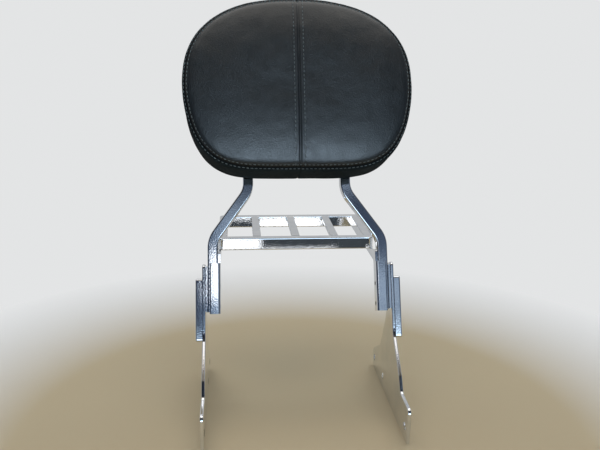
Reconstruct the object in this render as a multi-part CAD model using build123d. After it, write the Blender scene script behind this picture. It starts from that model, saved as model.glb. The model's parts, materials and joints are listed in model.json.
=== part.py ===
from build123d import *

import os
from math import cos, pi, radians, sin, sqrt

# Sissy bar with a small luggage rack and a padded backrest.
# Millimetres; X to the rider's right in a view from the front, Y towards the rear, Z up.
# Two side plates stand on Z = 0; the origin is the middle of the footprint.

# The hoop: one square bar that leans back and is bent outward under the pad
LEAN = 22.5
LEAN_FOOT_Y = -87.25
BAR = 12.7
BAR_CORNER = 2.0
LOWER_X = 104.6
UPPER_X = 60.7
HOOP_FOOT = 134.0
LOWER_BEND = 221.9
UPPER_BEND = 282.6
HOOP_TOP = 465.0
BEND_RADIUS = 30.0
TOP_RADIUS = 42.0

# The clamp round each lower end of the hoop, given along the lean
CHANNEL_FOOT = 132.0
CHANNEL_TOP = 193.0
CHANNEL_WEB = 3.0
CHANNEL_FLANGE = 2.5
CHANNEL_LIP_X = 108.4
CHANNEL_CORNER = 3.0
CHANNEL_LIP_ROUND = 1.6
TAB_TOP = 207.0
TAB_REAR_Y = 60.0
TAB_ARM_HEIGHT = 9.0
SPACER_FOOT = 135.0
SPACER_TOP = 189.0
SPACER_THICK = 2.5
NUT_BAR_FOOT = 99.0
NUT_BAR_TOP = 174.5
NUT_BAR_THICK = 8.0
NUT_BAR_DEPTH = 22.0
CLAMP_SCREW_HEIGHTS = (141.0, 166.0)

# The side plate, seen from the side
PLATE_THICK = 4.0
PLATE_EDGE = 1.2
ARM_TOP = 192.0
ARM_FRONT = 1.0
ARM_REAR = -32.0
TOE_Y = -141.3
HEEL_Y = 62.8
TOE_HEIGHT = 44.0
HEEL_HEIGHT = 26.8
HOLE_RADIUS = 4.25
HOLE_HEIGHT = 17.0
HOLE_YS = (-127.5, -4.5, 51.5)

# The rack
RACK_BAR = 11.1
RACK_HEIGHT = 15.4
RACK_CORNER = 1.4
RACK_FRONT_Y = 20.3
RACK_REAR_Y = 141.3
RACK_TOP = 199.4
RACK_ROUND = 6.0
SLAT_WIDTH = 10.3
SLAT_THICK = 5.0
SLAT_SPACING = 49.6

# The pad, with its outline in the plane of the hoop
PAD_HALF_WIDTH = 139.0
PAD_FOOT = 295.6
PAD_WIDEST = 402.6
PAD_TOP = 510.7
PAD_CROWN = 65.0
PAD_SAG = 6.0
PAD_ROLL = 20.0
COVER_THICK = 1.2
SEAM_INSET = 4.2
FOLD_WIDTH = 18.0
BOARD_THICK = 9.0
STRAP_HEIGHT = 25.0
STRAP_THICK = 4.0
STRAP_HALF_LENGTH = 66.0
STRAP_MIDDLES = {"lower": 342.0, "upper": 442.0}
PAD_BOLT_X = 32.0

# Fasteners: M8 countersunk screws for the clamps, M6 hexagon heads for the pad
M8_RADIUS = 4.0
M8_LENGTH = 28.0
M8_HEAD_RADIUS = 6.6
M8_SOCKET = 5.0
M6_RADIUS = 3.0
M6_LENGTH = 12.0
M6_HEAD_ACROSS = 10.0
M6_HEAD_HEIGHT = 4.0
M6_WASHER_RADIUS = 6.0
M6_WASHER_THICK = 1.2
M6_HOLE_RADIUS = 3.3
TEE_FLANGE_RADIUS = 9.0
TEE_FLANGE_THICK = 1.2
TEE_BARREL_RADIUS = 4.2
THREAD_GAP = 0.05

# Faces that follow from the stack through one clamp, from the middle outward
BAR_INNER_X = LOWER_X - BAR / 2
BAR_OUTER_X = LOWER_X + BAR / 2
WEB_INNER_X = BAR_INNER_X - CHANNEL_WEB
RACK_HALF_WIDTH = BAR_INNER_X + 0.4
RACK_UNDERSIDE = RACK_TOP - RACK_HEIGHT
PLATE_INNER_X = BAR_OUTER_X + SPACER_THICK
PLATE_OUTER_X = PLATE_INNER_X + PLATE_THICK
BAR_MIDDLE = -BAR / 2
PAD_BACK = STRAP_THICK
BOARD_FRONT = PAD_BACK + BOARD_THICK

# In this plane x runs across, y up along the lean and z forward, with z = 0 on the bar's front face
LEAN_PLANE = Plane(
    origin=(0, LEAN_FOOT_Y, 0),
    x_dir=(1, 0, 0),
    z_dir=(0, -cos(radians(LEAN)), sin(radians(LEAN))),
)


def leaned(shape):
    return LEAN_PLANE.location * shape


def side_point(along, forward):
    """A point of the leaning frame as (Y, Z) of the side view."""
    y = LEAN_FOOT_Y + along * sin(radians(LEAN)) - forward * cos(radians(LEAN))
    z = along * cos(radians(LEAN)) + forward * sin(radians(LEAN))
    return (y, z)


def rounded_outline(corners):
    """A face from a list of (point, corner radius)."""
    points = [point for point, radius in corners]
    radii = [radius for point, radius in corners]
    return make_face(FilletPolyline(*points, radius=radii, close=True))


def block(x_range, along_range, forward_range):
    """A box in the leaning frame, from its three ranges."""
    ranges = (x_range, along_range, forward_range)
    middle = [(low + high) / 2 for low, high in ranges]
    size = [abs(high - low) for low, high in ranges]
    return Pos(*middle) * Box(*size)


def cross_hole(radius, along, forward=BAR_MIDDLE):
    """A long drill along X through the right half only."""
    return Pos(PLATE_INNER_X, along, forward) * Rot(0, 90, 0) * Cylinder(radius, 80)


def drilled(part, radius):
    for along in CLAMP_SCREW_HEIGHTS:
        part -= cross_hole(radius, along)
    return part


def countersunk(part):
    """Cone seats for the clamp screws in the inner face of the web."""
    depth = M8_HEAD_RADIUS - HOLE_RADIUS
    seat = Rot(0, 90, 0) * Cone(M8_HEAD_RADIUS, HOLE_RADIUS, depth)
    for along in CLAMP_SCREW_HEIGHTS:
        part -= Pos(WEB_INNER_X + depth / 2, along, BAR_MIDDLE) * seat
    return part


def upright_hoop():
    right = [(LOWER_X, HOOP_FOOT), (LOWER_X, LOWER_BEND), (UPPER_X, UPPER_BEND), (UPPER_X, HOOP_TOP)]
    left = [(-x, along) for x, along in reversed(right)]
    bends = [BEND_RADIUS, BEND_RADIUS, TOP_RADIUS]
    path = FilletPolyline(*right, *left, radius=bends + bends[::-1])
    path = Pos(0, 0, BAR_MIDDLE) * path
    start = Plane(origin=(LOWER_X, HOOP_FOOT, BAR_MIDDLE), x_dir=(1, 0, 0), z_dir=(0, 1, 0))
    hoop = sweep(start * RectangleRounded(BAR, BAR, BAR_CORNER), path=path)
    hoop = drilled(hoop, HOLE_RADIUS)
    return mirror(drilled(mirror(hoop, about=Plane.YZ), HOLE_RADIUS), about=Plane.YZ)


def section_along(sketch, foot, top):
    """A section drawn in x and forward, drawn out along the lean."""
    return extrude(Plane.XZ.offset(-foot) * sketch, amount=foot - top)


def clamp_channel():
    width = CHANNEL_LIP_X - WEB_INNER_X
    depth = BAR + 2 * CHANNEL_FLANGE
    outer = Pos(WEB_INNER_X + width / 2, BAR_MIDDLE) * Rectangle(width, depth)
    outer = fillet(outer.vertices().group_by(Axis.X)[0], CHANNEL_CORNER)
    outer = fillet(outer.vertices().group_by(Axis.X)[-1], CHANNEL_LIP_ROUND)
    inside = Pos(BAR_INNER_X + width / 2, BAR_MIDDLE) * Rectangle(width, BAR)
    inside = fillet(inside.vertices().group_by(Axis.X)[0], BAR_CORNER / 2)
    channel = section_along(outer - inside, CHANNEL_FOOT, CHANNEL_TOP)
    channel = countersunk(drilled(channel, HOLE_RADIUS))
    return leaned(channel) + rack_tab()


def rack_tab():
    """The channel's web carried up the bar and then back under the rack's rail."""
    front = -0.5
    rear = 0.5 - BAR
    corners = [
        (side_point(CHANNEL_TOP - 5, front), 0.0),
        (side_point(CHANNEL_TOP - 5, rear), 0.0),
        (side_point(CHANNEL_TOP + 2, rear), 6.0),
        ((TAB_REAR_Y, RACK_UNDERSIDE - TAB_ARM_HEIGHT), 3.0),
        ((TAB_REAR_Y, RACK_UNDERSIDE), 0.0),
        ((RACK_FRONT_Y, RACK_UNDERSIDE), 0.0),
        (side_point(TAB_TOP, front), 3.0),
    ]
    return extrude(Plane.YZ.offset(WEB_INNER_X) * rounded_outline(corners), amount=CHANNEL_WEB)


def spacer():
    strip = block((BAR_OUTER_X, PLATE_INNER_X), (SPACER_FOOT, SPACER_TOP), (-BAR, 0))
    top_inner = strip.edges().filter_by(Axis.Z).group_by(Axis.Y)[-1].sort_by(Axis.X)[0]
    strip = fillet(top_inner, SPACER_THICK * 0.8)
    return drilled(strip, HOLE_RADIUS)


def nut_bar():
    inner_x = PLATE_OUTER_X
    outer_x = PLATE_OUTER_X + NUT_BAR_THICK
    bar = block((inner_x, outer_x), (NUT_BAR_FOOT, NUT_BAR_TOP), (ARM_FRONT - NUT_BAR_DEPTH, ARM_FRONT))
    bar = fillet(bar.edges().filter_by(Axis.X), 3.0)
    bar = fillet(bar.faces().sort_by(Axis.X)[-1].edges(), 2.0)
    return drilled(bar, M8_RADIUS)


def side_plate():
    corners = [
        (side_point(ARM_TOP, ARM_FRONT), 5.0),
        ((-48.1, 97.0), 25.0),
        ((-89.7, 60.0), 9.0),
        ((-100.7, TOE_HEIGHT - 0.5), 8.0),
        ((TOE_Y, TOE_HEIGHT), 7.0),
        ((TOE_Y + 2.0, 0.0), 2.5),
        ((HEEL_Y, 0.0), 2.5),
        ((HEEL_Y, HEEL_HEIGHT), 6.0),
        ((19.9, 51.2), 14.0),
        ((-7.9, 107.0), 30.0),
        (side_point(ARM_TOP, ARM_REAR), 8.0),
    ]
    plate = extrude(Plane.YZ.offset(PLATE_INNER_X) * rounded_outline(corners), amount=PLATE_THICK)
    faces = plate.faces().filter_by(Axis.X)
    plate = fillet(faces.edges(), PLATE_EDGE)
    for y in HOLE_YS:
        plate -= Pos(PLATE_INNER_X, y, HOLE_HEIGHT) * Rot(0, 90, 0) * Cylinder(HOLE_RADIUS, 40)
    for along in CLAMP_SCREW_HEIGHTS:
        plate -= leaned(cross_hole(HOLE_RADIUS, along))
    return plate


def rack_frame():
    depth = RACK_REAR_Y - RACK_FRONT_Y
    middle_y = (RACK_REAR_Y + RACK_FRONT_Y) / 2
    outer = RectangleRounded(2 * RACK_HALF_WIDTH, depth, RACK_ROUND)
    inner = Rectangle(2 * (RACK_HALF_WIDTH - RACK_BAR), depth - 2 * RACK_BAR)
    ring = Pos(0, middle_y, RACK_UNDERSIDE) * (outer - inner)
    frame = extrude(ring, amount=RACK_HEIGHT)
    return fillet(frame.faces().filter_by(Axis.Z).edges(), RACK_CORNER)


def rack_slat(x):
    front = RACK_FRONT_Y + RACK_BAR
    rear = RACK_REAR_Y - RACK_BAR
    middle = ((front + rear) / 2, RACK_TOP - SLAT_THICK / 2)
    slat = Pos(x, *middle) * Box(SLAT_WIDTH, rear - front, SLAT_THICK)
    return fillet(slat.edges().filter_by(Axis.Y), 1.2)


def clamp_screw():
    """An M8 countersunk screw with the top of its head on the origin and its shank along +Z."""
    cone = M8_HEAD_RADIUS - M8_RADIUS
    screw = Pos(0, 0, cone / 2) * Cone(M8_HEAD_RADIUS, M8_RADIUS, cone)
    screw += Pos(0, 0, M8_LENGTH / 2) * Cylinder(M8_RADIUS - THREAD_GAP, M8_LENGTH)
    socket = RegularPolygon(M8_SOCKET / sqrt(3), 6)
    return screw - extrude(socket, amount=2.4)


def washer(radius, hole, thick):
    """A washer on the origin that runs up along Z."""
    return extrude(Circle(radius) - Circle(hole), amount=thick)


def clamp_set(shape):
    """One shape in each cone seat, on both sides, with its Z axis turned outward."""
    turned = Rot(0, 90, 0) * shape
    rights = [leaned(Pos(WEB_INNER_X, along, BAR_MIDDLE) * turned) for along in CLAMP_SCREW_HEIGHTS]
    lefts = [mirror(right, about=Plane.YZ) for right in rights]
    return Compound(children=rights + lefts)


def pad_set(shape, forward):
    """One shape for each pad bolt, with its Z axis towards the pad."""
    spots = [(x, along) for along in STRAP_MIDDLES.values() for x in (-PAD_BOLT_X, PAD_BOLT_X)]
    return Compound(children=[leaned(Pos(x, along, forward) * shape) for x, along in spots])


def hex_bolt():
    head = extrude(RegularPolygon(M6_HEAD_ACROSS / sqrt(3), 6), amount=-M6_HEAD_HEIGHT)
    return head + Pos(0, 0, M6_LENGTH / 2) * Cylinder(M6_RADIUS - THREAD_GAP, M6_LENGTH)


def tee_nut():
    """A tee nut with its flange on top, on the origin, and its barrel down along Z."""
    flange = Pos(0, 0, -TEE_FLANGE_THICK / 2) * Cylinder(TEE_FLANGE_RADIUS, TEE_FLANGE_THICK)
    barrel_length = BOARD_THICK - 2.0
    barrel = Pos(0, 0, -barrel_length / 2) * Cylinder(TEE_BARREL_RADIUS, barrel_length)
    return flange + barrel - Cylinder(M6_RADIUS, 3 * BOARD_THICK)


def pad_strap(middle):
    strap = block(
        (-STRAP_HALF_LENGTH, STRAP_HALF_LENGTH),
        (middle - STRAP_HEIGHT / 2, middle + STRAP_HEIGHT / 2),
        (0, STRAP_THICK),
    )
    strap = fillet(strap.edges().filter_by(Axis.Z), 3.0)
    for x in (-PAD_BOLT_X, PAD_BOLT_X):
        strap -= Pos(x, middle, 0) * Cylinder(M6_HOLE_RADIUS, 20)
    return strap


def quarter(half_width, height, x_power, y_power, crowding, count=9):
    """Points of a rounded quarter outline from its side to just before its top."""
    points = []
    for step in range(count):
        angle = pi / 2 * (1 - (1 - step / count) ** crowding)
        x = half_width * cos(angle) ** (2 / x_power)
        y = height * sin(angle) ** (2 / y_power)
        points.append((x, y))
    return points


def pad_outline(inset):
    """The pad's face: a rounded top half and a fuller, flatter bottom half."""
    half_width = PAD_HALF_WIDTH - inset
    upper = quarter(half_width, PAD_TOP - PAD_WIDEST - inset, 2.4, 2.4, 1.2)
    lower = quarter(half_width, PAD_WIDEST - PAD_FOOT - inset, 5.0, 1.8, 2.0)
    top = (0, PAD_TOP - PAD_WIDEST - inset)
    bottom = (0, -(PAD_WIDEST - PAD_FOOT - inset))
    points = upper + [top]
    points += [(-x, y) for x, y in reversed(upper)]
    points += [(-x, -y) for x, y in lower[1:]] + [bottom]
    points += [(x, -y) for x, y in reversed(lower[1:])]
    return Pos(0, PAD_WIDEST) * make_face(Spline(*points, periodic=True))


def pad_block(inset):
    """The whole pad as a crowned block, inset evenly on its sides, front and back."""
    back = PAD_BACK - COVER_THICK + inset
    crown = PAD_CROWN - inset
    ball_radius = (PAD_HALF_WIDTH ** 2 + PAD_SAG ** 2) / (2 * PAD_SAG)
    walls = extrude(Pos(0, 0, back) * pad_outline(inset), amount=crown + 10 - back)
    ball = Pos(0, PAD_WIDEST, crown - ball_radius) * Sphere(ball_radius)
    body = walls & ball
    front_edges = body.edges().filter_by(lambda edge: edge.center().Z > PAD_CROWN / 2)
    return fillet(front_edges, PAD_ROLL - inset)


def pad_slab(inset, back, front):
    return extrude(Pos(0, 0, back) * pad_outline(inset), amount=front - back)


def pad_parts():
    """Board, foam and the sewn cover, which is two front panels and a boxing strip."""
    outer = pad_block(0.0)
    inner = pad_block(COVER_THICK)
    board = pad_slab(COVER_THICK, PAD_BACK, BOARD_FRONT)
    foam = inner - board
    for x in (-PAD_BOLT_X, PAD_BOLT_X):
        for middle in STRAP_MIDDLES.values():
            board -= Pos(x, middle, BOARD_FRONT) * Cylinder(TEE_BARREL_RADIUS, 3 * BOARD_THICK)
            board -= Pos(x, middle, BOARD_FRONT) * Cylinder(TEE_FLANGE_RADIUS, 2 * TEE_FLANGE_THICK)
    cover = outer - inner - pad_slab(FOLD_WIDTH, 0.0, PAD_BACK)
    face_zone = pad_slab(SEAM_INSET, PAD_CROWN / 2, PAD_CROWN + 5)
    front = cover & face_zone
    right_half = Pos(PAD_HALF_WIDTH, PAD_WIDEST, PAD_CROWN) * Box(2 * PAD_HALF_WIDTH, 400, 100)
    return {
        "pad_board": board,
        "pad_foam": foam,
        "pad_panel_left": front - right_half,
        "pad_panel_right": front & right_half,
        "pad_boxing": cover - face_zone,
    }


def both_sides(name, shape):
    return {name + "_right": shape, name + "_left": mirror(shape, about=Plane.YZ)}


def all_nodes():
    nodes = {"upright_hoop": leaned(upright_hoop())}
    nodes.update(both_sides("clamp_channel", clamp_channel()))
    nodes.update(both_sides("spacer", leaned(spacer())))
    nodes.update(both_sides("side_plate", side_plate()))
    nodes.update(both_sides("nut_bar", leaned(nut_bar())))
    nodes["rack_frame"] = rack_frame()
    for name, x in (("left", -SLAT_SPACING), ("centre", 0.0), ("right", SLAT_SPACING)):
        nodes["rack_slat_" + name] = rack_slat(x)
    nodes["clamp_screws"] = clamp_set(clamp_screw())
    for name, middle in STRAP_MIDDLES.items():
        nodes["pad_strap_" + name] = leaned(pad_strap(middle))
    for name, shape in pad_parts().items():
        nodes[name] = leaned(shape)
    nodes["pad_tee_nuts"] = pad_set(tee_nut(), BOARD_FRONT)
    nodes["pad_bolts"] = pad_set(hex_bolt(), -M6_WASHER_THICK)
    nodes["pad_washers"] = pad_set(washer(M6_WASHER_RADIUS, M6_HOLE_RADIUS, M6_WASHER_THICK), -M6_WASHER_THICK)
    return nodes


os.makedirs("parts", exist_ok=True)
for node_name, node_shape in all_nodes().items():
    export_step(node_shape, "parts/" + node_name + ".step")
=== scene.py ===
import json
from math import atan2, cos, exp, hypot, pi, radians, sin, sqrt

import bpy
from mathutils import Matrix, Vector, noise


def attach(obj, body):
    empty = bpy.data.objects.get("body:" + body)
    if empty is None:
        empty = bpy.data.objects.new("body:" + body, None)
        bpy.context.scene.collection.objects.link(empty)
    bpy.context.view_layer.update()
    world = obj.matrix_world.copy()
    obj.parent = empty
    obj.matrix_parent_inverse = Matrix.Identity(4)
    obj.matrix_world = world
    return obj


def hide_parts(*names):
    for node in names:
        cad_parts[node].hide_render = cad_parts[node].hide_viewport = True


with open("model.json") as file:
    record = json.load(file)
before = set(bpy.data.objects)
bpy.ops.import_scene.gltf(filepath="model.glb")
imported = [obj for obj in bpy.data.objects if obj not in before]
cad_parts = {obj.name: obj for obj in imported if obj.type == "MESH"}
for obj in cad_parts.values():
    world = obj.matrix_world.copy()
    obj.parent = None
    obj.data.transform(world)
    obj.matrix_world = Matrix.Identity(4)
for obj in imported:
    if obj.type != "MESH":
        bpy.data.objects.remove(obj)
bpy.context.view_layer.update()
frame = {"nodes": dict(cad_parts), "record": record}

# Lengths are in millimetres, and in metres for the camera and the studio.
# The pad and the welds on the hoop are in the hoop's leaning frame:
# x across, along up the lean from the ground, forward out of the bar's front face.
MM = 0.001
LEAN = radians(22.5)
LEAN_FOOT_Y = -87.25

# The pad: its outline is the part's, its roll is tighter, its rim lower and its skin a little thinner
PAD_HALF_WIDTH = 139.0
PAD_FOOT = 295.6
PAD_WIDEST = 402.6
PAD_TOP = 510.7
COVER_THICK = 1.15
SEAM_INSET = 4.2
PAD_CROWN = 65.0
PAD_SAG = 8.0
PAD_ROLL = 14.0
FOLD_FORWARD = 2.85
FOLD_WIDTH = 18.0
SLACK = 1.8
SLACK_REACH = 12.0
# Powers of the pad's outline: a round crown, full sides and a flatter foot
CROWN_POWER = 2.4
SIDE_POWER = 5
FOOT_POWER = 1.8

# The cover's mesh: a block of columns and rows, which takes up a share of the front, and rings round it
FRONT_COLUMNS = 46
FRONT_ROWS = 38
BLOCK_SHARE = 0.66
BLOCK_PULL = 0.12
MIDDLE_STEP = 0.018
RING_STEPS = (0.1, 0.2, 0.3, 0.4, 0.5, 0.6, 0.7, 0.8, 0.89, 0.96, 1.0)
ROLL_INSETS = (2.9, 1.7, 0.8)
BOXING_INSET = 0.7
BOXING_LEVELS = (41.5, 37.5, 33.5, 29.5, 25.5, 21.5, 17.5, 13.5)
FOLD_INSETS = (5.0, 8.2, 11.5, 14.8, FOLD_WIDTH)
FAR_FROM_SEAM = 60.0
SEAM_HOLD = 0.85
MIDDLE_HOLD = 0.3

# The cover's swelling
SWELL_PRESSURE = 4.0
SWELL_STEPS = 20
SWELL_CAP = 3.5

# Sewing
STITCH_PITCH = 5.0
STITCH_HALF_LENGTH = 1.75
STITCH_HALF_WIDTH = 0.48
STITCH_LIFT = 0.12
RIM_ROW = 2.3
RIM_ROWS_LOWEST = -20.0
MIDDLE_ROW = 5.5
MIDDLE_ROWS_LOWEST = 1.5
MIDDLE_RIDGE = 2.6
PUCKER = 0.35
SEAM_RADIUS = 120.0
BOXING_REACH = 60.0
PLEAT_START = 56.0
PLEAT_REACH = 16.0
PLEAT_DEPTH = 0.45
PLEAT_COUNT = 52

# Staples through the fold
STAPLE_INSET = 11.0
STAPLE_STANDOFF = 0.35
STAPLE_PITCH = 21.0
STAPLE_HALF_SIZES = (4.5, 0.55, 0.35)
STAPLE_PATH_STEPS = 180

# Welds, with places from the part
BEAD_PITCH = 0.8
BEAD_HALF_SIZES = (0.9, 1.1, 0.9)
LINE_STEPS = 6
SLAT_MIDDLES = (-49.6, 0.0, 49.6)
SLAT_WELD_HALF = 5.6
SLAT_WELD_TOP = 197.6
SLAT_WELD_FOOT = 194.0
RACK_BAR_INSIDES = (31.7, 129.9)
TAB_WELD_YS = (26.0, 58.5)
TAB_WELD_INNER = (95.2, 183.9, -0.7)
TAB_WELD_OUTER = (98.2, 184.2, 0.9)
SPACER_MIDDLE_X = 112.0
SPACER_ENDS = (134.6, 188.6)
SPACER_WELD_FORWARDS = (-11.5, -0.6)
STRAP_MIDDLES = (342.0, 442.0)
STRAP_EDGES = (-12.6, 12.6)
STRAP_WELD_XS = (55.5, 65.5)
STRAP_WELD_FORWARD = 0.4

# Camera, fitted to the photograph
CAMERA_PLACE = (-0.0747, -0.8305, 0.4439)
CAMERA_YAW = radians(5.29)
CAMERA_PITCH = radians(14.92)
CAMERA_ROLL = radians(-0.81)
CAMERA_LENS = 42.17

# The pale studio round the part, in metres
PALE = (0.77, 0.78, 0.785, 1.0)
FLOOR_HALF_WIDTH = 5.0
FLOOR_FRONT = -4.0
BACKDROP_START = 1.0
BACKDROP_BEND = 0.6
BACKDROP_TOP = 4.0
BEND_STEPS = 12
PAPER_MIDDLE_Y = -0.10
PAPER_NEAR = 0.33
PAPER_FAR = 0.62
MIRRORED_STRENGTH = 0.65


def leaned(x, along, forward):
    """A point of the leaning frame, in metres of the part's frame."""
    y = LEAN_FOOT_Y + along * sin(LEAN) - forward * cos(LEAN)
    z = along * cos(LEAN) + forward * sin(LEAN)
    return Vector((x, y, z)) * MM


def millimetres(x, y, z):
    return Vector((x, y, z)) * MM


def new_object(name, vertices, faces=(), edges=()):
    mesh = bpy.data.meshes.new(name)
    mesh.from_pydata([tuple(v) for v in vertices], edges, faces)
    piece = bpy.data.objects.new(name, mesh)
    bpy.context.scene.collection.objects.link(piece)
    return piece


def settled(piece):
    """Turns the piece with its modifiers into a plain mesh."""
    evaluated = piece.evaluated_get(bpy.context.evaluated_depsgraph_get())
    mesh = bpy.data.meshes.new_from_object(evaluated)
    piece.modifiers.clear()
    old = piece.data
    piece.data = mesh
    bpy.data.meshes.remove(old)
    mesh.name = piece.name
    return piece


def add_node(tree, kind, inputs=None, **settings):
    """A node with its settings; an input is a plain value or another node's output."""
    made = tree.nodes.new(kind)
    for name, value in settings.items():
        setattr(made, name, value)
    for name, value in (inputs or {}).items():
        if isinstance(value, bpy.types.NodeSocket):
            tree.links.new(value, made.inputs[name])
        else:
            made.inputs[name].default_value = value
    return made


# Materials

def new_material(name):
    material = bpy.data.materials.new(name)
    material.use_nodes = True
    return material, material.node_tree, material.node_tree.nodes["Principled BSDF"]


def object_noise(tree, scale, detail=4.0, roughness=0.55, stretch=(1.0, 1.0, 1.0)):
    """Noise on Object coordinates; scale is in waves per metre."""
    place = add_node(tree, "ShaderNodeTexCoord")
    mapping = add_node(tree, "ShaderNodeMapping", {"Vector": place.outputs["Object"], "Scale": stretch})
    wanted = {"Vector": mapping.outputs[0], "Scale": scale, "Detail": detail, "Roughness": roughness}
    return add_node(tree, "ShaderNodeTexNoise", wanted).outputs["Fac"]


def ramp(tree, factor, *stops):
    """A colour ramp from (position, colour or grey value) stops."""
    made = add_node(tree, "ShaderNodeValToRGB", {"Fac": factor})
    elements = made.color_ramp.elements
    while len(elements) < len(stops):
        elements.new(0.5)
    for element, (position, colour) in zip(elements, stops):
        grey = isinstance(colour, (int, float))
        element.position = position
        element.color = (colour, colour, colour, 1.0) if grey else (*colour, 1.0)
    return made.outputs["Color"]


def maths(tree, operation, first, second):
    return add_node(tree, "ShaderNodeMath", {0: first, 1: second}, operation=operation).outputs[0]


def blended(tree, blend, first, second):
    colours = {"Fac": 1.0, "Color1": first, "Color2": second}
    return add_node(tree, "ShaderNodeMixRGB", colours, blend_type=blend).outputs[0]


def attribute(tree, name):
    return add_node(tree, "ShaderNodeAttribute", attribute_name=name).outputs["Fac"]


def bump(tree, shader, height, strength, distance):
    made = add_node(tree, "ShaderNodeBump", {"Height": height, "Strength": strength, "Distance": distance})
    tree.links.new(made.outputs[0], shader.inputs["Normal"])


def plug(tree, shader, name, socket):
    tree.links.new(socket, shader.inputs[name])


def chrome_plate():
    """Bright plating with a faint haze, fine polishing lines and a slight orange peel."""
    material, tree, shader = new_material("chrome_plate")
    shader.inputs["Metallic"].default_value = 1.0
    tone = object_noise(tree, 28.0)
    plug(tree, shader, "Base Color", ramp(tree, tone, (0.3, (0.70, 0.73, 0.78)), (0.7, (0.86, 0.87, 0.88))))
    haze = object_noise(tree, 55.0, detail=6.0)
    lines = object_noise(tree, 260.0, stretch=(1.0, 0.15, 6.0))
    cloud = maths(tree, "MULTIPLY", haze, lines)
    plug(tree, shader, "Roughness", ramp(tree, cloud, (0.12, 0.015), (0.5, 0.06)))
    bump(tree, shader, object_noise(tree, 640.0, detail=3.0), 0.08, 0.0004)
    return material


def zinc_plate():
    material, tree, shader = new_material("zinc_plate")
    shader.inputs["Metallic"].default_value = 1.0
    patches = object_noise(tree, 240.0)
    grey = ramp(tree, patches, (0.3, (0.42, 0.43, 0.44)), (0.7, (0.66, 0.66, 0.64)))
    plug(tree, shader, "Base Color", grey)
    plug(tree, shader, "Roughness", ramp(tree, patches, (0.3, 0.28), (0.7, 0.46)))
    bump(tree, shader, object_noise(tree, 900.0), 0.1, 0.0003)
    return material


def cover_leather():
    """Black leather: pebbled grain, a soft sheen, painted shade along the rim seam, and a duller boxing whose
    colour is lightened as a painted sheen.
    """
    material, tree, shader = new_material("cover_leather")
    place = add_node(tree, "ShaderNodeTexCoord").outputs["Object"]
    drift = add_node(tree, "ShaderNodeTexNoise", {"Vector": place, "Scale": 320.0, "Detail": 2.0})
    shifted = {"Fac": 0.004, "Color1": place, "Color2": drift.outputs["Color"]}
    bent = add_node(tree, "ShaderNodeMixRGB", shifted)
    cells = {"Vector": bent.outputs[0], "Scale": 720.0}
    pebbles = add_node(tree, "ShaderNodeTexVoronoi", cells, feature="SMOOTH_F1").outputs["Distance"]
    pores = object_noise(tree, 2600.0, detail=3.0)
    creases = object_noise(tree, 130.0, detail=5.0, stretch=(1.0, 1.0, 0.35))
    patches = object_noise(tree, 16.0)
    rim = maths(tree, "ABSOLUTE", attribute(tree, "rim_distance"), 0.0)
    # Painted shade: within a few millimetres of the rim seam, in its groove, the skin darkens to about a
    # third. The patches are random tone.
    seam_painted_shade = ramp(tree, maths(tree, "DIVIDE", rim, 6.0), (0.0, 0.35), (0.6, 1.0))
    tone_and_seam_shade = maths(tree, "MULTIPLY", patches, seam_painted_shade)
    black = (0.30, (0.0045, 0.0062, 0.0066))
    worn = (0.75, (0.0100, 0.0128, 0.0136))
    skin = ramp(tree, tone_and_seam_shade, (0.0, (0.002, 0.002, 0.003)), black, worn)
    past_rim = maths(tree, "SUBTRACT", 4.0, attribute(tree, "rim_distance"))
    on_boxing = maths(tree, "DIVIDE", past_rim, 12.0)
    # Painted sheen: the boxing's base colour is multiplied by up to 2.4, standing in for the shine that its
    # low specular level takes off.
    boxing_painted_sheen = ramp(tree, on_boxing, (0.3, 1.0), (0.8, 2.4))
    plug(tree, shader, "Base Color", blended(tree, "MULTIPLY", skin, boxing_painted_sheen))
    gloss = maths(tree, "ADD", maths(tree, "MULTIPLY", pebbles, 0.5), maths(tree, "MULTIPLY", creases, 0.5))
    dull = ramp(tree, on_boxing, (0.3, 0.0), (0.8, 0.4))
    polish = ramp(tree, gloss, (0.2, 0.30), (0.75, 0.48))
    plug(tree, shader, "Roughness", maths(tree, "ADD", polish, dull))
    plug(tree, shader, "Specular IOR Level", ramp(tree, on_boxing, (0.0, 0.85), (0.33, 0.16), (0.8, 0.02)))
    height = maths(tree, "ADD", pebbles, maths(tree, "MULTIPLY", pores, 0.25))
    bump(tree, shader, maths(tree, "ADD", height, maths(tree, "MULTIPLY", creases, 0.8)), 0.3, 0.0005)
    return material


def sewing_thread():
    material, tree, shader = new_material("sewing_thread")
    twist = object_noise(tree, 1500.0, stretch=(1.0, 2.0, 2.0))
    strands = ramp(tree, twist, (0.3, (0.08, 0.093, 0.09)), (0.7, (0.22, 0.247, 0.235)))
    plug(tree, shader, "Base Color", strands)
    plug(tree, shader, "Roughness", ramp(tree, twist, (0.3, 0.45), (0.7, 0.7)))
    bump(tree, shader, twist, 0.4, 0.0003)
    return material


def pressed_board():
    """Dark stained hardboard on the back of the pad."""
    material, tree, shader = new_material("pressed_board")
    fibres = object_noise(tree, 420.0, detail=8.0, roughness=0.7, stretch=(1.0, 0.4, 0.4))
    clouds = object_noise(tree, 30.0)
    mixed = maths(tree, "ADD", maths(tree, "MULTIPLY", fibres, 0.65), maths(tree, "MULTIPLY", clouds, 0.35))
    stain = ramp(tree, mixed, (0.35, (0.035, 0.022, 0.014)), (0.65, (0.115, 0.074, 0.045)))
    plug(tree, shader, "Base Color", stain)
    plug(tree, shader, "Roughness", ramp(tree, fibres, (0.3, 0.6), (0.7, 0.85)))
    bump(tree, shader, fibres, 0.35, 0.0006)
    return material


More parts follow.
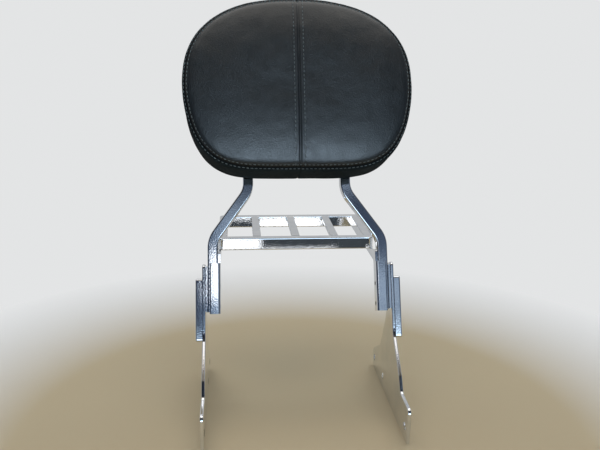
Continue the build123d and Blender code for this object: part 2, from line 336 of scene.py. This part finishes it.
def staple_wire():
    material, tree, shader = new_material("staple_wire")
    shader.inputs["Metallic"].default_value = 1.0
    drawn = object_noise(tree, 1200.0, stretch=(0.3, 1.0, 1.0))
    plug(tree, shader, "Base Color", ramp(tree, drawn, (0.3, (0.50, 0.50, 0.50)), (0.7, (0.74, 0.73, 0.70))))
    plug(tree, shader, "Roughness", ramp(tree, drawn, (0.3, 0.22), (0.7, 0.38)))
    return material


# Repeats along a path

def repeat_tree(name, shape_kind, shape_inputs):
    """Puts one small shape along each path, at an even pitch, lengthwise and turned to the surface."""
    tree = bpy.data.node_groups.new(name, "GeometryNodeTree")
    face = tree.interface
    face.new_socket("Paths", in_out="INPUT", socket_type="NodeSocketGeometry")
    sockets = {}
    for label in ("Pitch", "Half Length", "Half Width", "Half Height"):
        sockets[label] = face.new_socket(label, in_out="INPUT", socket_type="NodeSocketFloat").identifier
    sockets["Finish"] = face.new_socket("Finish", in_out="INPUT", socket_type="NodeSocketMaterial").identifier
    face.new_socket("Pieces", in_out="OUTPUT", socket_type="NodeSocketGeometry")
    entry = tree.nodes.new("NodeGroupInput").outputs
    path = add_node(tree, "GeometryNodeMeshToCurve", {"Mesh": entry["Paths"]})
    even = {"Curve": path.outputs[0], "Length": entry["Pitch"]}
    spots = add_node(tree, "GeometryNodeResampleCurve", even, mode="LENGTH")
    shape = add_node(tree, shape_kind, shape_inputs)
    halves = {"X": entry["Half Length"], "Y": entry["Half Width"], "Z": entry["Half Height"]}
    size = add_node(tree, "ShaderNodeCombineXYZ", halves)
    sized = add_node(tree, "GeometryNodeTransform", {"Geometry": shape.outputs[0], "Scale": size.outputs[0]})
    way = add_node(tree, "GeometryNodeInputTangent")
    lengthwise = add_node(tree, "FunctionNodeAlignRotationToVector", {"Vector": way.outputs[0]}, axis="X")
    stored = {"Name": "surface_normal"}
    up = add_node(tree, "GeometryNodeInputNamedAttribute", stored, data_type="FLOAT_VECTOR")
    turned = {"Rotation": lengthwise.outputs[0], "Vector": up.outputs[0]}
    laid = add_node(tree, "FunctionNodeAlignRotationToVector", turned, axis="Z", pivot_axis="X")
    placed = {"Points": spots.outputs[0], "Instance": sized.outputs[0], "Rotation": laid.outputs[0]}
    pieces = add_node(tree, "GeometryNodeInstanceOnPoints", placed)
    real = add_node(tree, "GeometryNodeRealizeInstances", {"Geometry": pieces.outputs[0]})
    smooth = add_node(tree, "GeometryNodeSetShadeSmooth", {"Geometry": real.outputs[0]})
    coated = {"Geometry": smooth.outputs[0], "Material": entry["Finish"]}
    finish = add_node(tree, "GeometryNodeSetMaterial", coated)
    exit_node = tree.nodes.new("NodeGroupOutput")
    tree.links.new(finish.outputs[0], exit_node.inputs[0])
    return tree, sockets


def repeated(name, paths, repeat, pitch, half_sizes, finish):
    """A plain mesh of the repeats along paths, which are lists of (point, surface normal)."""
    vertices = []
    normals = []
    edges = []
    for path in paths:
        first = len(vertices)
        vertices += [point for point, normal in path]
        normals += [normal for point, normal in path]
        edges += [(first + k, first + k + 1) for k in range(len(path) - 1)]
    piece = new_object(name, vertices, edges=edges)
    layer = piece.data.attributes.new("surface_normal", "FLOAT_VECTOR", "POINT")
    layer.data.foreach_set("vector", [value for normal in normals for value in normal])
    tree, sockets = repeat
    modifier = piece.modifiers.new("repeat", "NODES")
    modifier.node_group = tree
    modifier[sockets["Pitch"]] = pitch * MM
    for label, half in zip(("Half Length", "Half Width", "Half Height"), half_sizes):
        modifier[sockets[label]] = half * MM
    modifier[sockets["Finish"]] = finish
    return settled(piece)


# The sewn pad

def outline_reach(angle):
    """How far the pad's edge is along a direction, as a share of its half width and height."""
    across = abs(cos(angle))
    rise = abs(sin(angle))
    if sin(angle) >= 0:
        return (across ** CROWN_POWER + rise ** CROWN_POWER) ** (-1 / CROWN_POWER)
    # The lower half mixes two powers, so its edge is found by halving
    low, high = 0.9, 1.5
    for _ in range(40):
        middle = (low + high) / 2
        if (middle * across) ** SIDE_POWER + (middle * rise) ** FOOT_POWER > 1:
            high = middle
        else:
            low = middle
    return low


def outline_point(angle, inset):
    half_height = PAD_TOP - PAD_WIDEST if sin(angle) >= 0 else PAD_WIDEST - PAD_FOOT
    reach = outline_reach(angle)
    x = (PAD_HALF_WIDTH - inset) * reach * cos(angle)
    along = PAD_WIDEST + (half_height - inset) * reach * sin(angle)
    return x, along


def face_height(share, inset):
    """How far forward the pad's front is, at a share of the way to its seam and inset from its outline."""
    over = max(PAD_ROLL - inset, 0.0)
    return PAD_CROWN - PAD_SAG * share ** 4 - (PAD_ROLL - sqrt(PAD_ROLL ** 2 - over ** 2))


def spread(count, extra):
    """Even steps from -1 to 1, with extra steps that hold the middle seam crisp."""
    steps = [2 * k / count - 1 for k in range(count + 1)]
    return sorted(steps + [-extra, extra])


class PadCover:
    """The cover as one mesh: a block in the middle of the front, rings out to the seam, then the boxing."""

    def __init__(self):
        self.points = []
        self.faces = []
        self.rim = []
        self.middle = []
        self.held = []
        self.columns = spread(FRONT_COLUMNS, MIDDLE_STEP)
        self.rows = [2 * k / FRONT_ROWS - 1 for k in range(FRONT_ROWS + 1)]
        self.add_block()
        self.add_front_rings()
        self.add_boxing()

    def add(self, point, rim, middle, held):
        self.points.append(point)
        self.rim.append(rim)
        self.middle.append(middle)
        self.held.append(held)
        return len(self.points) - 1

    def add_front(self, angle, share, held):
        """A vertex of the front face, at a share of the way from the middle to the seam."""
        edge_x, edge_along = outline_point(angle, SEAM_INSET)
        x = edge_x * share
        along = PAD_WIDEST + (edge_along - PAD_WIDEST) * share
        from_rim = (1 - share) * hypot(edge_x, edge_along - PAD_WIDEST)
        forward = face_height(share, SEAM_INSET + from_rim) - SLACK * (1 - exp(-from_rim / SLACK_REACH))
        on_middle = abs(x) < 0.01
        return self.add((x, along, forward), from_rim, x, max(held, MIDDLE_HOLD if on_middle else 0.0))

    def add_block(self):
        self.grid = []
        self.spokes = {}
        for row in self.rows:
            line = []
            for column in self.columns:
                across = BLOCK_SHARE * column * (1 - BLOCK_PULL * row * row)
                rise = BLOCK_SHARE * row * (1 - BLOCK_PULL * column * column)
                angle = atan2(rise, across)
                share = hypot(across, rise) / outline_reach(angle)
                made = self.add_front(angle, share, 0.0)
                self.spokes[made] = (angle, share)
                line.append(made)
            self.grid.append(line)
        for lower, upper in zip(self.grid, self.grid[1:]):
            for k in range(len(lower) - 1):
                self.faces.append((lower[k], lower[k + 1], upper[k + 1], upper[k]))

    def add_ring(self, ring):
        for k in range(len(ring)):
            n = (k + 1) % len(ring)
            self.faces.append((self.edge[n], self.edge[k], ring[k], ring[n]))
        self.edge = ring

    def add_front_rings(self):
        self.edge = self.block_edge()
        starts = [self.spokes[k] for k in self.edge]
        self.angles = [angle for angle, share in starts]
        for step in RING_STEPS:
            held = SEAM_HOLD if step == 1.0 else 0.0
            ring = [self.add_front(angle, share + (1 - share) * step, held) for angle, share in starts]
            self.add_ring(ring)

    def block_edge(self):
        bottom = self.grid[0][:-1]
        right = [line[-1] for line in self.grid[:-1]]
        top = self.grid[-1][:0:-1]
        left = [line[0] for line in self.grid[:0:-1]]
        return bottom + right + top + left

    def boxing_rings(self):
        """(inset, forward, held) of each ring from under the seam to the fold; no forward is on the roll."""
        rings = [(inset, None, 0.0) for inset in ROLL_INSETS]
        rings += [(BOXING_INSET, forward, 0.0) for forward in BOXING_LEVELS]
        rings += [(BOXING_INSET, 9.6, 0.6)]
        rings += [(0.5, 6.6, 1.0), (0.3, 4.6, 1.0), (0.5, 3.0, 1.0), (2.2, 2.4, 1.0)]
        rings += [(inset, FOLD_FORWARD, 1.0) for inset in FOLD_INSETS]
        return rings

    def add_boxing(self):
        gone = 0.0
        before = (SEAM_INSET, face_height(1.0, SEAM_INSET))
        for inset, forward, held in self.boxing_rings():
            level = face_height(1.0, inset) if forward is None else forward
            gone += hypot(inset - before[0], level - before[1])
            before = (inset, level)
            ring = []
            for angle in self.angles:
                x, along = outline_point(angle, inset)
                bottom = x if sin(angle) < -0.5 else FAR_FROM_SEAM
                ring.append(self.add((x, along, level), -gone, bottom, held))
            self.add_ring(ring)


def inflate(piece, start):
    """Blows the cover up under light pressure, with its seams and its fold held, and caps the swell."""
    cap = SWELL_CAP * MM
    cloth = piece.modifiers.new("cloth", "CLOTH")
    cloth.settings.quality = 8
    cloth.settings.mass = 0.35
    cloth.settings.tension_stiffness = 25
    cloth.settings.compression_stiffness = 4
    cloth.settings.shear_stiffness = 4
    cloth.settings.bending_stiffness = 20
    cloth.settings.use_pressure = True
    cloth.settings.uniform_pressure_force = SWELL_PRESSURE
    cloth.settings.vertex_group_mass = "held"
    cloth.settings.pin_stiffness = 1.0
    cloth.settings.effector_weights.gravity = 0.0
    cloth.collision_settings.use_collision = False
    scene = bpy.context.scene
    for step in range(SWELL_STEPS):
        scene.frame_set(step + 1)
    evaluated = piece.evaluated_get(bpy.context.evaluated_depsgraph_get())
    moved = [vertex.co.copy() for vertex in evaluated.data.vertices]
    piece.modifiers.clear()
    scene.frame_set(1)
    places = []
    for old, new in zip(start, moved):
        swell = new - old
        if swell.length > cap:
            swell *= cap / swell.length
        places.append(old + swell)
    return places


def groove(distance, depth, width):
    """A smooth groove, deepest at no distance and almost gone at twice its width."""
    return depth * exp(-(distance / width) ** 2)


def seam_depth(rim, middle, along_seam):
    """How far the skin is drawn in near a seam or a row of stitches, in millimetres."""
    pucker = 1.0 + PUCKER * cos(2 * pi * along_seam / (2 * STITCH_PITCH))
    sink = groove(rim, depth=1.15, width=1.0)
    sink += pucker * groove(abs(rim) - RIM_ROW, depth=0.42, width=0.9)
    if rim > -1.0:
        sink += groove(middle, depth=1.0, width=1.1)
        sink += pucker * groove(abs(middle) - MIDDLE_ROW, depth=0.40, width=1.0)
        sink -= groove(abs(middle) - MIDDLE_RIDGE, depth=0.30, width=1.3)
    elif rim > -BOXING_REACH:
        sink += groove(middle, depth=0.8, width=0.9)
    return sink


def draw_in_seams(mesh):
    """Sinks the seams, gathers the skin along them and pleats the fold on the back."""
    rims = [item.value for item in mesh.attributes["rim_distance"].data]
    middles = [item.value for item in mesh.attributes["middle_distance"].data]
    centre = leaned(0, PAD_WIDEST, 0)
    normals = [vertex.normal.copy() for vertex in mesh.vertices]
    for vertex, normal, rim, middle in zip(mesh.vertices, normals, rims, middles):
        offset = vertex.co - centre
        angle = atan2(offset.z / cos(LEAN), offset.x)
        near_rim = abs(rim) < abs(middle)
        along_seam = angle * SEAM_RADIUS if near_rim else offset.z / MM
        sink = seam_depth(rim, middle, along_seam)
        ripples = noise.noise(vertex.co * 90.0) * 0.16
        waves = noise.noise(vertex.co * 34.0) * 0.35
        fine = ripples + waves
        if rim < -PLEAT_START:
            inner = min((-rim - PLEAT_START) / PLEAT_REACH, 1.0)
            wander = 2.5 * noise.noise(vertex.co * 30.0)
            fine += PLEAT_DEPTH * inner * (1 + cos(angle * PLEAT_COUNT + wander)) / -2
        vertex.co += normal * (fine - sink) * MM


def contour(mesh, layer, level, lowest, key, closed):
    """The line on the mesh where an attribute has one value, as sorted (point, normal) pairs."""
    values = [item.value for item in mesh.attributes[layer].data]
    rims = [item.value for item in mesh.attributes["rim_distance"].data]
    found = []
    for edge in mesh.edges:
        a, b = edge.vertices
        if (values[a] - level) * (values[b] - level) >= 0 or min(rims[a], rims[b]) < lowest:
            continue
        share = (level - values[a]) / (values[b] - values[a])
        first, second = mesh.vertices[a], mesh.vertices[b]
        point = first.co.lerp(second.co, share)
        normal = first.normal.lerp(second.normal, share).normalized()
        found.append((point, normal))
    found.sort(key=lambda pair: key(pair[0]))
    return found + found[:1] if closed else found


def round_pad(point):
    offset = point - leaned(0, PAD_WIDEST, 0)
    return atan2(offset.z, offset.x)


def raised(path, lift):
    return [(point + normal * lift * MM, normal) for point, normal in path]


def mark_cover(pad, cover):
    """Stores how far each vertex is from the seams, and how firmly the swelling holds it."""
    for name, values in (("rim_distance", cover.rim), ("middle_distance", cover.middle)):
        layer = pad.data.attributes.new(name, "FLOAT", "POINT")
        layer.data.foreach_set("value", values)
    group = pad.vertex_groups.new(name="held")
    for index, weight in enumerate(cover.held):
        if weight > 0:
            group.add([index], weight, "REPLACE")


def stitch_paths(mesh):
    """Two rows along the rim's seam and two along the middle one."""
    rows = []
    for level in (RIM_ROW, -RIM_ROW):
        rows.append(contour(mesh, "rim_distance", level, RIM_ROWS_LOWEST, round_pad, True))
    for level in (MIDDLE_ROW, -MIDDLE_ROW):
        rows.append(contour(mesh, "middle_distance", level, MIDDLE_ROWS_LOWEST, lambda point: point.z, False))
    return [raised(row, STITCH_LIFT) for row in rows]


def make_pad(leather, thread, stitch):
    """The cover with its swelling, seams and thickness, and its stitches."""
    cover = PadCover()
    start = [leaned(*point) for point in cover.points]
    pad = new_object("padded_cover", start, cover.faces)
    mark_cover(pad, cover)
    places = inflate(pad, start)
    pad.data.vertices.foreach_set("co", [value for place in places for value in place])
    pad.data.update()
    finer = pad.modifiers.new("finer", "SUBSURF")
    finer.levels = 1
    finer.render_levels = 1
    settled(pad)
    draw_in_seams(pad.data)
    pad.data.update()
    sizes = (STITCH_HALF_LENGTH, STITCH_HALF_WIDTH, STITCH_HALF_WIDTH)
    stitches = repeated("pad_stitches", stitch_paths(pad.data), stitch, STITCH_PITCH, sizes, thread)
    skin = pad.modifiers.new("skin", "SOLIDIFY")
    skin.thickness = COVER_THICK * MM
    skin.offset = -1.0
    skin.use_even_offset = True
    settled(pad)
    pad.data.materials.clear()
    pad.data.materials.append(leather)
    pad.data.polygons.foreach_set("use_smooth", [True] * len(pad.data.polygons))
    return pad, stitches


def make_staples(wire, staple):
    """One round of staples through the fold, into the board."""
    back = Vector((0, cos(LEAN), -sin(LEAN)))
    path = []
    for step in range(STAPLE_PATH_STEPS + 1):
        x, along = outline_point(2 * pi * step / STAPLE_PATH_STEPS, STAPLE_INSET)
        path.append((leaned(x, along, FOLD_FORWARD - STAPLE_STANDOFF), back))
    return repeated("fold_staples", [path], staple, STAPLE_PITCH, STAPLE_HALF_SIZES, wire)


# Welds

def line_path(points, normal):
    """A path through the points, in steps fine enough for a bead."""
    path = []
    for start, end in zip(points, points[1:]):
        path += [(start.lerp(end, k / LINE_STEPS), normal) for k in range(LINE_STEPS)]
    return path + [(points[-1], normal)]


def slat_weld_paths():
    """Round the underside of both ends of each slat."""
    paths = []
    for x in SLAT_MIDDLES:
        left, right = x - SLAT_WELD_HALF, x + SLAT_WELD_HALF
        for y in RACK_BAR_INSIDES:
            corners = [(left, SLAT_WELD_TOP), (left, SLAT_WELD_FOOT)]
            corners += [(right, SLAT_WELD_FOOT), (right, SLAT_WELD_TOP)]
            points = [millimetres(corner_x, y, z) for corner_x, z in corners]
            paths.append(line_path(points, Vector((0, 0, -1))))
    return paths


def tab_weld_paths():
    """Along both edges of each tab, under the rack's side rail."""
    paths = []
    for side in (-1, 1):
        for x, z, tilt in (TAB_WELD_INNER, TAB_WELD_OUTER):
            ends = [millimetres(side * x, y, z) for y in TAB_WELD_YS]
            paths.append(line_path(ends, Vector((side * tilt, 0, -0.7))))
    return paths


def spacer_weld_paths():
    """Across the top and the foot of each spacer."""
    paths = []
    for side in (-1, 1):
        for along in SPACER_ENDS:
            ends = [leaned(side * SPACER_MIDDLE_X, along, forward) for forward in SPACER_WELD_FORWARDS]
            paths.append(line_path(ends, Vector((0, sin(LEAN), cos(LEAN)))))
    return paths


def strap_weld_paths():
    """Along both edges of each strap, where it crosses a leg of the hoop."""
    paths = []
    for middle in STRAP_MIDDLES:
        for side in (-1, 1):
            for edge in STRAP_EDGES:
                ends = [leaned(side * x, middle + edge, STRAP_WELD_FORWARD) for x in STRAP_WELD_XS]
                paths.append(line_path(ends, Vector((0, -cos(LEAN), sin(LEAN)))))
    return paths


# Stage, light and camera

def floor_paper():
    """Warm paper under the part, and pale all round it: for the camera, and behind the part for mirrors. In
    front of the part, painted shade darkens the paper for every ray but the camera's.
    """
    material, tree, shader = new_material("pale_floor")
    place = add_node(tree, "ShaderNodeTexCoord").outputs["Object"]
    parts = add_node(tree, "ShaderNodeSeparateXYZ", {0: place}).outputs
    rays = add_node(tree, "ShaderNodeLightPath").outputs
    to_middle = {0: place, 1: (0.0, PAPER_MIDDLE_Y, 0.0)}
    from_middle = add_node(tree, "ShaderNodeVectorMath", to_middle, operation="SUBTRACT")
    distance = add_node(tree, "ShaderNodeVectorMath", {0: from_middle.outputs[0]}, operation="LENGTH")
    reach = distance.outputs["Value"]
    paper = ramp(tree, reach, (PAPER_NEAR, (0.68, 0.54, 0.34)), (PAPER_FAR, (0.80, 0.80, 0.79)))
    # Painted shade: in front of the part, the paper is darkened for every ray except the camera's, so metal
    # and bounced light see a dark floor there.
    in_front = maths(tree, "MULTIPLY", parts["Y"], -1.0)
    painted_dark_front = ramp(tree, in_front, (0.30, 1.0), (0.52, 0.03))
    shown = maths(tree, "MAXIMUM", painted_dark_front, rays["Is Camera Ray"])
    plug(tree, shader, "Base Color", blended(tree, "MULTIPLY", paper, shown))
    shader.inputs["Roughness"].default_value = 0.85
    far = ramp(tree, reach, (PAPER_NEAR, 0.0), (PAPER_FAR, 1.0))
    behind = ramp(tree, parts["Y"], (0.0, 0.0), (0.1, 1.0))
    mirrored = maths(tree, "MAXIMUM", rays["Is Glossy Ray"], rays["Is Transmission Ray"])
    seen = maths(tree, "MAXIMUM", rays["Is Camera Ray"], maths(tree, "MULTIPLY", mirrored, behind))
    more = maths(tree, "MULTIPLY", rays["Is Camera Ray"], 1.0 - MIRRORED_STRENGTH)
    strength = maths(tree, "ADD", more, MIRRORED_STRENGTH)
    pale = add_node(tree, "ShaderNodeEmission", {"Color": PALE, "Strength": strength}).outputs[0]
    mixed = {0: maths(tree, "MULTIPLY", seen, far), 1: shader.outputs[0], 2: pale}
    surface = add_node(tree, "ShaderNodeMixShader", mixed).outputs[0]
    tree.links.new(surface, tree.nodes["Material Output"].inputs["Surface"])
    return material


def make_floor():
    """A floor that curves up into a backdrop."""
    profile = [(FLOOR_FRONT, 0.0), (BACKDROP_START, 0.0)]
    for step in range(1, BEND_STEPS + 1):
        turn = pi / 2 * step / BEND_STEPS
        profile.append((BACKDROP_START + BACKDROP_BEND * sin(turn), BACKDROP_BEND * (1 - cos(turn))))
    profile.append((BACKDROP_START + BACKDROP_BEND, BACKDROP_TOP))
    vertices = [(x, y, z) for y, z in profile for x in (-FLOOR_HALF_WIDTH, FLOOR_HALF_WIDTH)]
    faces = [(2 * k, 2 * k + 1, 2 * k + 3, 2 * k + 2) for k in range(len(profile) - 1)]
    floor = new_object("floor", vertices, faces)
    floor.data.polygons.foreach_set("use_smooth", [True] * len(faces))
    floor.data.materials.append(floor_paper())


def soft_box(name, place, target, size, power, colour):
    light = bpy.data.lights.new(name, "AREA")
    light.shape = "RECTANGLE"
    light.size, light.size_y = size
    light.energy = power
    light.color = colour
    lamp = bpy.data.objects.new(name, light)
    bpy.context.scene.collection.objects.link(lamp)
    lamp.visible_camera = False
    lamp.location = place
    lamp.rotation_euler = (Vector(target) - Vector(place)).to_track_quat("-Z", "Y").to_euler()


def light_scene():
    """One large lamp above, and small cards in front that show as bright spots on the metal."""
    soft_box("above", (0.0, 0.2, 1.9), (0.0, 0.2, 0.0), (2.4, 1.8), 15.0, (1.0, 0.98, 0.95))
    cards = (
        ("flash_card", (-0.085, -1.35, 0.815), (0.16, 0.17), 0.15),
        ("front_bar_card", (-0.071, -0.28, 0.1025), (0.072, 0.021), 0.0085),
        ("rear_bar_card", (0.032, -0.28, 0.0825), (0.127, 0.020), 0.017),
    )
    for name, place, size, power in cards:
        soft_box(name, place, (place[0], 0.0, place[2]), size, power, (1.0, 1.0, 1.0))
    light_room()


def dim_room(tree, height, cloud):
    """Dark blue, darkest above the part, and warmer towards the ceiling."""
    colours = ramp(
        tree, height,
        (0.0, (0.02, 0.027, 0.04)), (0.50, (0.03, 0.045, 0.08)), (0.60, (0.012, 0.014, 0.02)),
        (0.80, (0.03, 0.03, 0.034)), (0.92, (0.10, 0.09, 0.07)), (0.97, (0.30, 0.27, 0.22)),
    )
    depths = ramp(tree, cloud, (0.40, (0.3, 0.34, 0.42)), (0.62, (1.9, 1.8, 1.7)))
    return blended(tree, "MULTIPLY", colours, depths)


def low_glow(tree, height, across):
    """A wide blue-white light just above the floor, brighter than white, which the pad's lower roll shows."""
    level = ramp(tree, height, (0.0, 0.3), (0.05, 1.0), (0.28, 1.0), (0.36, 0.0))
    width = ramp(tree, across, (0.05, 0.0), (0.25, 1.0), (0.80, 1.0), (1.0, 0.0))
    shape = blended(tree, "MULTIPLY", level, width)
    return blended(tree, "MULTIPLY", shape, (3.6, 4.7, 5.7, 1.0))


def patchy_band(tree, height, across, cloud):
    """A bright stretch that the left leg and its clamp show, and a dimmer one for the right."""
    left_level = ramp(
        tree, height,
        (0.34, 0.5), (0.40, 1.0), (0.455, 1.0), (0.485, 0.5), (0.53, 0.15), (0.56, 0.03), (0.60, 0.0),
    )
    left_width = ramp(tree, across, (0.463, 0.02), (0.470, 1.0), (0.56, 1.0), (0.60, 0.0))
    right_level = ramp(
        tree, height,
        (0.34, 0.34), (0.40, 0.44), (0.43, 0.46), (0.455, 0.03),
        (0.53, 0.04), (0.555, 0.36), (0.60, 0.2), (0.63, 0.0),
    )
    right_width = ramp(tree, across, (0.58, 0.0), (0.62, 1.0), (0.80, 1.0), (0.90, 0.2))
    left = blended(tree, "MULTIPLY", left_level, left_width)
    right = blended(tree, "MULTIPLY", right_level, right_width)
    patches = ramp(tree, cloud, (0.36, (0.38, 0.52, 0.72)), (0.60, (0.90, 1.08, 1.26)))
    return blended(tree, "MULTIPLY", blended(tree, "ADD", left, right), patches)


def light_room():
    """A pale room; in front of the part the metal sees a dim blue one, with a low glow and a patchy band."""
    world = bpy.data.worlds.new("studio")
    bpy.context.scene.world = world
    world.use_nodes = True
    tree = world.node_tree
    way = add_node(tree, "ShaderNodeTexCoord").outputs["Generated"]
    parts = add_node(tree, "ShaderNodeSeparateXYZ", {0: way}).outputs
    height = parts["Z"]
    across = maths(tree, "ADD", parts["X"], 0.5)
    cloud = add_node(tree, "ShaderNodeTexNoise", {"Vector": way, "Scale": 26.0, "Detail": 5.0}).outputs["Fac"]
    front = blended(tree, "ADD", dim_room(tree, height, cloud), low_glow(tree, height, across))
    front = blended(tree, "ADD", front, patchy_band(tree, height, across, cloud))
    behind = ramp(tree, parts["Y"], (0.02, 0.0), (0.35, 1.0))
    rays = add_node(tree, "ShaderNodeLightPath").outputs
    room = {"Fac": maths(tree, "MAXIMUM", behind, rays["Is Camera Ray"]), "Color1": front, "Color2": PALE}
    colours = add_node(tree, "ShaderNodeMixRGB", room).outputs[0]
    tree.links.new(colours, tree.nodes["Background"].inputs["Color"])


def make_camera():
    ahead = Vector((
        sin(CAMERA_YAW) * cos(CAMERA_PITCH),
        cos(CAMERA_YAW) * cos(CAMERA_PITCH),
        -sin(CAMERA_PITCH),
    ))
    level = Vector((cos(CAMERA_YAW), -sin(CAMERA_YAW), 0.0))
    down = ahead.cross(level)
    right = level * cos(CAMERA_ROLL) + down * sin(CAMERA_ROLL)
    below = down * cos(CAMERA_ROLL) - level * sin(CAMERA_ROLL)
    data = bpy.data.cameras.new("camera")
    data.lens = CAMERA_LENS
    data.sensor_width = 36.0
    camera = bpy.data.objects.new("camera", data)
    bpy.context.scene.collection.objects.link(camera)
    turn = Matrix((right, -below, -ahead)).transposed()
    camera.matrix_world = Matrix.Translation(CAMERA_PLACE) @ turn.to_4x4()
    bpy.context.scene.camera = camera


def dress_nodes(finishes):
    """Gives each CAD node its finish, by the record's slot."""
    for part in frame["record"]["subparts"]:
        mesh = frame["nodes"][part["node"]].data
        mesh.materials.clear()
        mesh.materials.append(finishes[part["material_slot"]])


bpy.context.scene.view_settings.view_transform = "Standard"
chrome = chrome_plate()
leather = cover_leather()
thread = sewing_thread()
board = pressed_board()
wire = staple_wire()
# The foam is never seen, so it shares the board's finish
dress_nodes({"chrome": chrome, "cover": leather, "foam": board, "board": board, "zinc": zinc_plate()})

stitch = repeat_tree("stitch_row", "GeometryNodeMeshUVSphere", {"Segments": 8, "Rings": 5, "Radius": 1.0})
bead = repeat_tree("weld_bead", "GeometryNodeMeshUVSphere", {"Segments": 10, "Rings": 6, "Radius": 1.0})
staple = repeat_tree("staple_row", "GeometryNodeMeshCube", {"Size": (2.0, 2.0, 2.0)})

pad, stitches = make_pad(leather, thread, stitch)
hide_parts("pad_panel_left", "pad_panel_right", "pad_boxing", "pad_foam")
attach(pad, "root")
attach(stitches, "root")

staples = make_staples(wire, staple)
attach(staples, "root")

weld_paths = slat_weld_paths() + tab_weld_paths() + spacer_weld_paths() + strap_weld_paths()
welds = repeated("weld_beads", weld_paths, bead, BEAD_PITCH, BEAD_HALF_SIZES, chrome)
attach(welds, "root")

make_floor()
light_scene()
make_camera()
